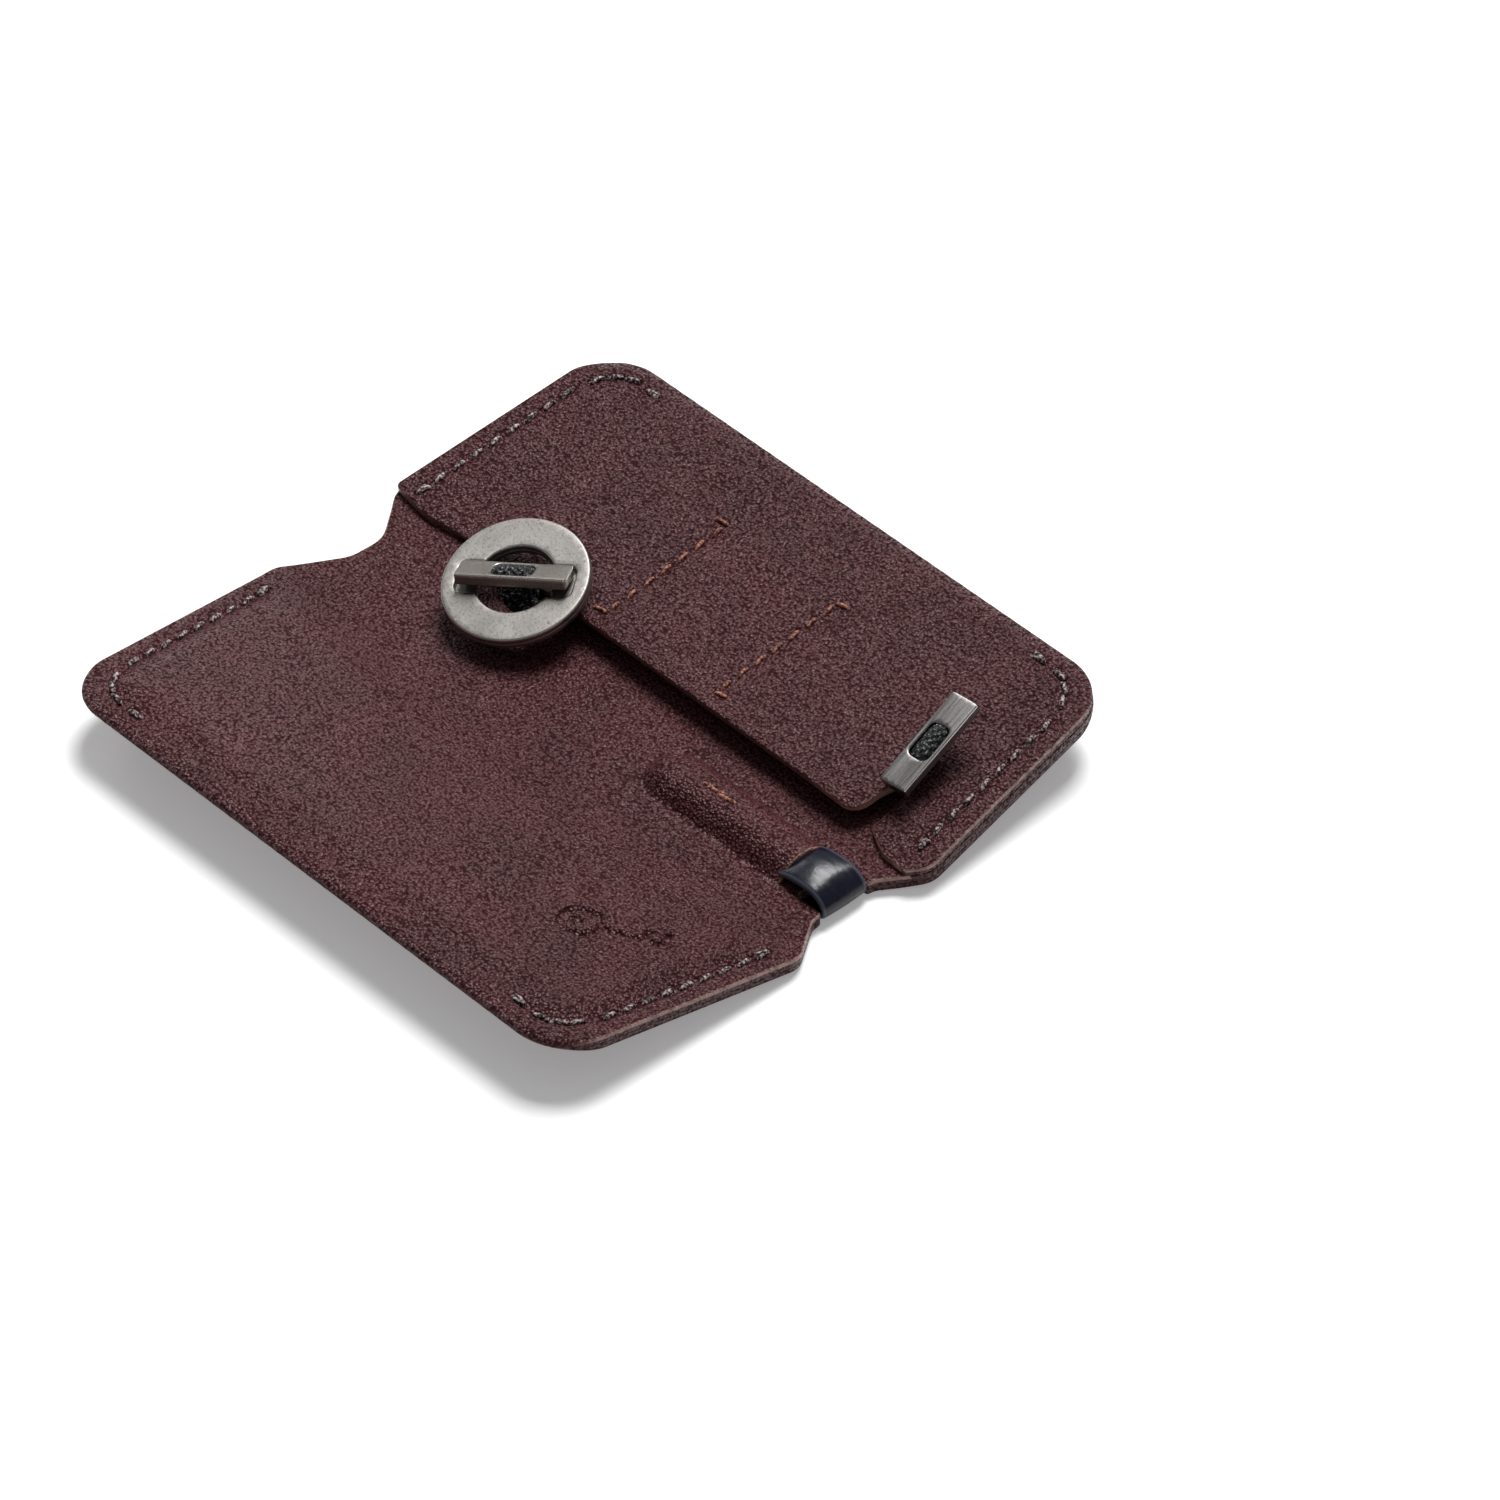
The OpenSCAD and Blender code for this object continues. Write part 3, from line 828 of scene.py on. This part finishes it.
def make_lining(material):
    """The lining: one sheet over both panels and the spine, with the sleeve moulded into it."""
    def fine(s, y):
        sleeve = (np.abs(s - SLEEVE_X) < 6) & (y < -8) & (y > -39)
        sewing = (s < 0) & (distance(s, y, EDGE_PATHS) < 1.9)
        mark = distance(s, y, MARK) < 1.4
        return sleeve | sewing | mark

    def inner(s, y):
        return np.full(np.shape(s), LEATHER + 0.01)

    across = np.arange(SLEEVE_X - SLEEVE_HALF - 0.3, SLEEVE_X + SLEEVE_HALF + 0.3, 0.18)
    mouth = np.vstack([
        np.column_stack([across, np.full(len(across), SLEEVE_MOUTH + dy)])
        for dy in (-0.09, -0.03, 0.03, 0.09, 0.25)
    ])
    return slab("lining_leather", [COVER], lining_top, inner, fold_up, material, 0.4, 0.05, 1.0, fine, 0.27,
                extra=mouth, fields={"crinkle": crinkles, "raw": mouth_edge})


def read(mesh, name):
    """One of a mesh's fields, as an array."""
    found = np.zeros(len(mesh.vertices), np.float32)
    mesh.attributes[name].data.foreach_get("value", found)
    return found


def make_flap(material):
    """The pocket flap, sewn down round its outside and free along the spine."""
    def fine(s, y):
        sewing = distance(s, y, EDGE_PATHS) < 1.9
        seams = distance(s, y, SEAM_PATHS) < 1.8
        slit = (np.abs(y + SLIT_Y) < 3.5) & (s < SLIT_END + 2)
        return sewing | seams | slit

    def cut(s, y, w):
        return smooth((distance(s, y, COVER) - 0.4) / 0.5) * (0.3 + 0.5 * smooth((-y - 26) / 6))

    piece = slab("flap_leather", [flap_outline()], flap_top, flap_bottom, fold_up, material, 0.34, 0.08, 1.0,
                 fine, 0.29, fields={"crinkle": nothing, "cut": cut})
    mesh = piece.data
    bare, wall, lip = (read(mesh, name) for name in ("cut", "wall", "lip"))
    raw = mesh.attributes.new("raw", "FLOAT", "POINT")
    raw.data.foreach_set("value", bare * np.maximum(wall, 0.75 * lip))
    mesh.attributes["lip"].data.foreach_set("value", lip * (bare == 0))
    return piece


def fade_lips(piece, covered=None):
    """The folded long edges get no painted highlight line along their top edge, and neither does an edge that
    another layer covers.
    """
    mesh = piece.data
    flat = np.zeros(len(mesh.vertices) * 3, np.float32)
    mesh.attributes["flat"].data.foreach_get("vector", flat)
    s = flat.reshape(-1, 3)[:, 0] / MM
    lip = read(mesh, "lip") * (1 - long_edge(s))
    if covered is not None:
        lip = lip * (s < covered)
    mesh.attributes["lip"].data.foreach_set("value", lip.astype(np.float32))


def curve(points, steps=12):
    """A smooth line through points."""
    points = np.asarray(points, float)
    ends = np.vstack([2 * points[0] - points[1], points, 2 * points[-1] - points[-2]])
    line = []
    for a, b, c, d in zip(ends, ends[1:], ends[2:], ends[3:]):
        for t in np.linspace(0, 1, steps, endpoint=False):
            line.append(0.5 * (2 * b + (c - a) * t + (2 * a - 5 * b + 4 * c - d) * t ** 2
                               + (3 * b - a - 3 * c + d) * t ** 3))
    return np.array(line + [points[-1]])


def swept(rings, sides):
    """Faces of a closed form made of rings of points, with flat ends."""
    faces = []
    for i in range(rings - 1):
        for k in range(sides):
            k2 = (k + 1) % sides
            faces.append((i * sides + k, (i + 1) * sides + k, (i + 1) * sides + k2, i * sides + k2))
    faces.append(tuple(range(sides)))
    faces.append(tuple((rings - 1) * sides + k for k in range(sides))[::-1])
    return faces


def tube(points, radius, twist=0.0, sides=10, plies=2):
    """Points and faces of a twisted thread along a line of points, with closed round ends."""
    points = np.asarray(points, float)
    n = len(points)
    along = units(np.gradient(points, axis=0))
    side = units(np.cross(along, (0.0, 0.0, 1.0)))
    high = np.cross(side, along)
    length = run(points)
    vertices, faces = [], []
    for i in range(n):
        ends = min(i, n - 1 - i)
        swell = (0.35, 0.8, 1.0)[min(ends, 2)]
        for k in range(sides):
            a = 2 * math.pi * k / sides
            ply = 0.78 + 0.22 * abs(math.cos(plies * (a - twist * length[i]) / 2))
            r = radius * swell * ply
            vertices.append(points[i] + r * (math.cos(a) * side[i] + math.sin(a) * high[i]))
    for i in range(n - 1):
        for k in range(sides):
            k2 = (k + 1) % sides
            faces.append((i * sides + k, i * sides + k2, (i + 1) * sides + k2, (i + 1) * sides + k))
    faces.append(tuple(range(sides))[::-1])
    faces.append(tuple((n - 1) * sides + k for k in range(sides)))
    return np.array(vertices), faces


def thread_row(name, row, surface, material, radius=0.25, under=None, doubled=()):
    """A row of stitches lying in its channel. Each one dips into a needle hole at both ends."""
    vertices, faces, count = [], [], 0
    strands = []
    for i, (s, y, a) in enumerate(row):
        strands.append((s, y, a + 0.2, surface, 1, 0.0))
        if i in doubled:
            strands.append((s + 0.22 * math.sin(a), y - 0.22 * math.cos(a), a - 0.1, surface, 1, 0.12))
        if under is not None:
            strands.append((s, y, a - 0.09, under, -1, 0.0))
    for s, y, a, level, way, more in strands:
        t = np.linspace(-1, 1, 11)
        ss = s + t * math.cos(a) * (STITCH_LEN / 2 + 0.02)
        yy = y + t * math.sin(a) * (STITCH_LEN / 2 + 0.02)
        base = float(level(np.array([s]), np.array([y]))[0])
        arch = 0.17 + more - (0.5 + more) * np.abs(t) ** 3
        line = fold_up(ss, yy, base + way * arch)
        v, f = tube(line, radius, twist=5.2)
        vertices.append(v)
        faces += [tuple(count + k for k in face) for face in f]
        count += len(v)
    return add_mesh(name, np.vstack(vertices), faces, material)


def ribbon(name, line, side, width, thick, material, arch=0.0, weave=0.0, step=0.16, across=46, lips=False):
    """A flat strap along a line of points. side points across it, and arch crowns it across its width."""
    line = np.asarray(line, float)
    sides = np.broadcast_to(np.asarray(side, float), line.shape)
    length = run(line)
    at = np.linspace(0, length[-1], max(4, int(length[-1] / step)))
    centre = places_at(at, length, line)
    arches = np.interp(at, length, np.broadcast_to(arch, len(line)).astype(float))
    along = units(np.gradient(centre, axis=0))
    side = places_at(at, length, sides)
    side = units(side - (side * along).sum(1)[:, None] * along)
    up = np.cross(side, along)
    h, t = width / 2, thick / 2
    r = min(t * 0.85, 0.4)
    section = even(rounded_box(h, t, r), (2 * width + 2 * thick) / across)
    m, n = len(section), len(centre)
    vertices, flat, lip = [], [], []
    for i in range(n):
        a, b = section[:, 0], section[:, 1]
        crown = -arches[i] * (a / h) ** 2
        knot = weave * np.sin(at[i] * 5.2) * np.sin(a * 5.2) * np.sign(b)
        level = b * (1 if 0 < i < n - 1 else 0.6) + crown + knot * (np.abs(b) > t * 0.6)
        vertices.append(centre[i] + a[:, None] * side[i] + level[:, None] * up[i])
        flat.append(np.column_stack([np.full(m, at[i]), a, b]))
        lip.append(((np.abs(a) > h - r * 1.2) & (b > 0)).astype(float) * (1 if lips else 0))
    lips_at = {"lip": np.concatenate(lip)}
    return add_mesh(name, np.vstack(vertices), swept(n, m), material, lips_at, np.vstack(flat))


def make_loop(material):
    """The navy loop: out of the sleeve, over the end of the spine and back under it."""
    path = [
        (-33.2, 2.95), (-35.1, 3.3), (-36.7, 3.9), (-38.2, 4.2), (-39.7, 4.22), (-41.2, 3.92), (-42.45, 3.15),
        (-43.1, 2.2), (-42.95, 1.25), (-42.1, 0.68), (-40.6, 0.52), (-39.1, 0.55),
    ]
    line = curve([(SLEEVE_X, y, z) for y, z in path])
    arch = 0.5 * smooth((line[:, 1] + 43.2) / 5) + 0.1
    return ribbon("loop_leather", line, (-1, 0, 0), LOOP_W, LOOP_T, material, arch, 0, 0.14, 72, lips=True)


def at_frame(centre, turn):
    """Puts local places, in millimetres, at a turned frame."""
    turn = np.array(turn)

    def place(s, y, w):
        return centre + np.column_stack([s, y, w]) @ turn.T
    return place


def turned(*steps):
    total = Matrix.Identity(3)
    for axis, degrees in steps:
        total = total @ Matrix.Rotation(math.radians(degrees), 3, axis)
    return total


WASHER_TURN = turned(("Y", -WASHER_LEAN), ("Z", -WASHER_SPIN))
TOGGLE_A_TURN = WASHER_TURN @ turned(("X", -TOGGLE_A_ROLL))
TOGGLE_B_TURN = turned(("Z", TOGGLE_B_YAW), ("Y", -TOGGLE_B_PITCH))


def circle(radius, count=120):
    a = np.linspace(0, 2 * math.pi, count, endpoint=False)
    return np.column_stack([radius * np.cos(a), radius * np.sin(a)])


def keyhole(hole_r, length, width, end_r):
    """The washer's round hole with the groove's outline running out of it on both sides."""
    h, l = width / 2, length / 2
    a = math.asin(h / hole_r)
    near = hole_r * math.cos(a)
    points = []
    for side in (0, math.pi):
        c, s = math.cos(side), math.sin(side)
        arm = rounded([(near, -h, 0), (l, -h, end_r), (l, h, end_r), (near, h, 0)], 0.1)
        points += [(c * x - s * y, s * x + c * y) for x, y in arm]
        for b in np.linspace(a, math.pi - a, 40)[1:-1]:
            points.append((hole_r * math.cos(b + side), hole_r * math.sin(b + side)))
    return np.array(points)


def level(value):
    return lambda s, y: np.full(np.shape(s), float(value))


def make_washer(material):
    """The washer, with a groove across its face that the toggle lies in."""
    place = at_frame(middle("washer"), WASHER_TURN)
    plain = [circle(WASHER_R), circle(WASHER_HOLE_R)]
    grooved = [circle(WASHER_R), keyhole(WASHER_HOLE_R, GROOVE_L, GROOVE_W, 1.0)]
    lower = slab("washer_lower", plain, level(0.01), level(-WASHER_HALF_T), place, material,
                 0.02, 0.3, 0.8, step=0.25)
    upper = slab("washer_upper", grooved, level(WASHER_HALF_T), level(0.0), place, material,
                 0.26, 0.02, 0.8, step=0.2)
    return join(upper, lower, "washer_body")


def join(a, b, name):
    for obj in bpy.context.view_layer.objects:
        obj.select_set(False)
    both = [a, b]
    with bpy.context.temp_override(active_object=a, selected_editable_objects=both, selected_objects=both):
        bpy.ops.object.join()
    a.name = name
    a.data.name = name
    return a


def toggle_outline():
    """A bar with slightly curved ends."""
    right = [(min(TOGGLE_END_R * math.cos(a), TOGGLE_HALF_L), TOGGLE_END_R * math.sin(a))
             for a in np.linspace(-0.27, 0.27, 9)]
    return np.array(right + [(-x, -y) for x, y in right])


def make_toggle(name, node_name, turn, material):
    """A toggle bar with a rounded window."""
    window = rounded_box(5.3 / 2, 2.8 / 2, 0.85)
    place = at_frame(middle(node_name), turn)
    return slab(name, [toggle_outline(), window], level(TOGGLE_HALF_T), level(-TOGGLE_HALF_T), place,
                material, 0.2, 0.2, 0.6, step=0.16)


def web_loop(name, node_name, turn, material):
    """The strap's end, folded round the pin: a woven barrel that fills the toggle's window."""
    n, m = 56, 60
    half, r, oval = 2.55, 1.12, 1.12
    vertices, flat = [], []
    for i in range(n + 1):
        x = -half + 2 * half * i / n
        crown = 1 - 0.35 * (abs(x) / half) ** 6
        for k in range(m):
            a = 2 * math.pi * k / m
            knot = 0.11 * math.sin(x * 5.6) * math.sin(a * 8)
            v = r * crown + knot
            vertices.append((x, oval * v * math.sin(a), v * math.cos(a)))
            flat.append((x, a * r, 0))
    place = at_frame(middle(node_name), turn)
    return add_mesh(name, place(*np.array(vertices).T), swept(n + 1, m), material, {}, np.array(flat))


def flat_strap(name, places, across, material):
    """A strap lying on the lining of the pocket panel, under the flap."""
    line = curve([fold_point(s, y, 2 * LEATHER + 0.44) for s, y in places])
    return ribbon(name, line, across, STRAP_W, STRAP_T, material, 0.08, 0.05)


def riser(name, points, sides, width, material):
    """A stretch of strap standing off the lining, turning from one direction across it to another."""
    line = curve(points)
    t = np.linspace(0, 1, len(line))[:, None]
    side = np.asarray(sides[0]) * (1 - t) + np.asarray(sides[1]) * t
    return ribbon(name, line, side, width, 1.0, material, 0.12, 0.07)


# ---------------------------------------------------------------- camera, floor and lights

def make_camera():
    """At the photograph's angle: from the plain panel's lower corner, about 42 degrees above the floor."""
    azimuth, elevation = math.radians(-43.4), math.radians(42.4)
    back = Vector((math.cos(elevation) * math.sin(azimuth), -math.cos(elevation) * math.cos(azimuth),
                   math.sin(elevation)))
    right = Vector((math.cos(azimuth), math.sin(azimuth), 0))
    up = back.cross(right)
    data = bpy.data.cameras.new("camera")
    data.lens = 220
    data.sensor_width = 36
    data.clip_end = 10
    camera = bpy.data.objects.new("camera", data)
    bpy.context.scene.collection.objects.link(camera)
    camera.location = back * 1.1 + right * 0.0193 - up * 0.0017
    camera.rotation_euler = Matrix((right, up, back)).transposed().to_euler()
    bpy.context.scene.camera = camera


def make_floor():
    size = 3.0
    mesh = bpy.data.meshes.new("floor")
    corners = [(-size, -size, 0), (size, -size, 0), (size, size, 0), (-size, size, 0)]
    mesh.from_pydata(corners, [], [(0, 1, 2, 3)])
    floor = bpy.data.objects.new("floor", mesh)
    bpy.context.scene.collection.objects.link(floor)
    floor.location.z = -0.00005
    mesh.materials.append(floor_paper("floor_paper"))


def softbox(name, azimuth, elevation, distance_m, size, power):
    """A square area light aimed at the cover. Azimuth turns from +X towards +Y."""
    data = bpy.data.lights.new(name, "AREA")
    data.size = size
    data.energy = power
    light = bpy.data.objects.new(name, data)
    bpy.context.scene.collection.objects.link(light)
    a, e = math.radians(azimuth), math.radians(elevation)
    towards = Vector((math.cos(e) * math.cos(a), math.cos(e) * math.sin(a), math.sin(e)))
    light.location = towards * distance_m
    light.rotation_euler = towards.to_track_quat("Z", "Y").to_euler()


def make_lights():
    world = bpy.data.worlds.new("studio")
    bpy.context.scene.world = world
    world.use_nodes = True
    background = world.node_tree.nodes["Background"]
    background.inputs["Color"].default_value = (1, 1, 1, 1)
    background.inputs["Strength"].default_value = 0.19
    softbox("key", 28, 60, 0.9, 0.42, 10.5)
    softbox("rim", 70, 25, 0.9, 0.3, 0.8)
    bpy.context.scene.view_settings.view_transform = "Standard"


# ---------------------------------------------------------------- the whole object

make_camera()
make_floor()
make_lights()

# Colours in order: the leather's face, the darker hollow colour that is painted shade in the grain, and the
# edge colour, darkened to stand in for shade on the unlit long edge.
plum = leather("plum_leather", (0.062, 0.015, 0.018), (0.022, 0.004, 0.0055), (0.034, 0.01, 0.012))
# The lining is a lighter copy of the same plum leather: painted light for the brighter sheen on the plain
# panel and spine.
plum_lining = leather("plum_lining", (0.07, 0.017, 0.02), (0.025, 0.0045, 0.006), (0.034, 0.01, 0.012))
navy = polished_leather("navy_leather")
tumbled = metal("tumbled_nickel", (0.34, 0.32, 0.3), 0.46)
brushed = metal("brushed_nickel", (0.24, 0.23, 0.225), 0.34, brushed=True)
# Toggle A gets its own copy of the nickel, set apart from toggle B's to give it a shaded look: painted shade.
toggle_a_shaded_nickel = metal("toggle_a_nickel_painted_shade", (0.3, 0.275, 0.25), 0.4)
webbing = cloth("black_webbing", (0.002, 0.002, 0.0025), (0.36, 0.37, 0.38), 0.62, 3600)
dark_thread = cloth("dark_thread", (0.012, 0.006, 0.007), (0.5, 0.4, 0.4), 0.53, 3000)
red_thread = cloth("red_brown_thread", (0.06, 0.016, 0.01), (0.42, 0.17, 0.11), 0.5, 3200)
card = board_card("stiffener_board")
magnet = metal("magnet_metal", (0.5, 0.5, 0.5), 0.35)


def fold_with_cover(piece):
    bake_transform(piece)


def finish_piece(piece, slot, *nodes, body=None):
    if nodes:
        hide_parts(*nodes)
    if body:
        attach(piece, body)
    return piece


outer = make_outer(plum)
fade_lips(outer, ALL_COVERED)
finish_piece(outer, "plum_leather", "outer_right", "outer_left", "fold_outer")
fold_with_cover(outer)

lining = make_lining(plum_lining)
fade_lips(lining, FLAP_COVERS)
finish_piece(lining, "plum_lining", "lining_right", "lining_left", "fold_lining")
fold_with_cover(lining)

flap = make_flap(plum)
fade_lips(flap)
finish_piece(flap, "plum_leather", "pocket_flap", body="pocket_side")

PANELS = ((-1, "plain_side", "left", lining_top), (1, "pocket_side", "right", flap_top))
for side, body, word, surface in PANELS:
    for end, place in ((1, "top"), (-1, "bottom")):
        row = ROWS[(side, end)]
        node_name = f"stitches_{word}_{place}"
        piece = thread_row(f"thread_{word}_{place}", row, surface, dark_thread, 0.35, under=level(0.1),
                           doubled=(0, len(row) - 1))
        finish_piece(piece, "dark_thread", node_name, body=body)

for y, node_name in zip(SEAM_Y, ("seam_top", "seam_bottom")):
    piece = thread_row(f"thread_{node_name}", SEAMS[y], flap_top, red_thread, 0.28)
    finish_piece(piece, "red_brown_thread", node_name, body="pocket_side")

loop = make_loop(navy)
finish_piece(loop, "navy_leather", "loop_tab")
fold_with_cover(loop)

washer = make_washer(tumbled)
finish_piece(washer, "tumbled_nickel", "washer", body="washer")
for letter, turn, finish in (("a", TOGGLE_A_TURN, toggle_a_shaded_nickel), ("b", TOGGLE_B_TURN, brushed)):
    bar = make_toggle(f"toggle_{letter}", f"toggle_bar_{letter}", turn, finish)
    finish_piece(bar, "brushed_nickel", f"toggle_bar_{letter}", body=f"toggle_{letter}")
    barrel = web_loop(f"webbing_loop_{letter}", f"strap_loop_{letter}", turn, webbing)
    finish_piece(barrel, "black_webbing", f"strap_loop_{letter}", body=f"toggle_{letter}")

offsets = ((0, -1.9), (0.1, 0), (0, 1.9), (-0.12, -0.9), (-0.1, 1))
tack = [(SLEEVE_X + dx, TACK_Y + dy, math.pi / 2) for dx, dy in offsets]
piece = thread_row("thread_tack", tack, lining_top, red_thread, 0.3)
finish_piece(piece, "red_brown_thread", "loop_tack", body="pocket_side")

# Strap A: flat under the flap, up through the washer and round the toggle's pin
hub, crown = middle("washer"), middle("strap_loop_a")
axis, bar = np.array(WASHER_TURN) @ (0, 0, 1), np.array(WASHER_TURN) @ (1, 0, 0)
base = flat_strap("webbing_base_a", [(24, hub[1]), (16, hub[1]), (9.8, hub[1])], (0, 1, 0), webbing)
finish_piece(base, "black_webbing", "strap_base_a", body="pocket_side")
foot = hub - 3.4 * axis
under, over = hub - 1.5 * axis, hub - 0.7 * axis
lift = riser("webbing_lift_a", [foot + (3.0, 0, -0.95), foot + (1.2, 0, -0.5), foot + 0.6 * axis, under],
             ((0, -1, 0), -bar), 4.6, webbing)
finish_piece(lift, "black_webbing", "strap_a")
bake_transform(lift)
turning = riser("webbing_turn_a", [under - 0.1 * axis, over + 0.1 * axis], (-bar, -bar), 4.5, webbing)
finish_piece(turning, "black_webbing")
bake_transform(turning)
top = riser("webbing_top_a", [over, (over + crown) / 2, crown], (-bar, -bar), 4.4, webbing)
finish_piece(top, "black_webbing")
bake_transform(top)

# Strap B: flat under the flap, then up through the slit and round its toggle's pin
end = middle("strap_loop_b")
axis = np.array(TOGGLE_B_TURN) @ (0, 0, 1)
base = flat_strap("webbing_base_b", [(22, -19), (21.5, -27), (18.6, -34.4)], (1, 0, 0), webbing)
finish_piece(base, "black_webbing", "strap_base_b", body="pocket_side")
foot = fold_point(18.6, -34.2, 2.7)
under = end - 2.3 * axis
lift = riser("webbing_lift_b", [foot, foot + (0.2, -1.2, 0.3), foot + (1.0, -1.9, 0.9), under],
             ((1, 0, 0), (1, 0, 0)), 3.0, webbing)
finish_piece(lift, "black_webbing", "strap_b")
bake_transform(lift)
top = riser("webbing_top_b", [under - 0.1 * axis, end], ((1, 0, 0), (1, 0, 0)), 3.6, webbing)
finish_piece(top, "black_webbing")
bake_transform(top)

NODE_FINISH = {
    "board_left": card, "board_right": card, "magnets_left": magnet, "magnets_right": magnet,
    "toggle_pin_a": brushed, "toggle_pin_b": brushed,
}
for name, material in NODE_FINISH.items():
    mesh = frame["nodes"][name].data
    mesh.materials.clear()
    mesh.materials.append(material)
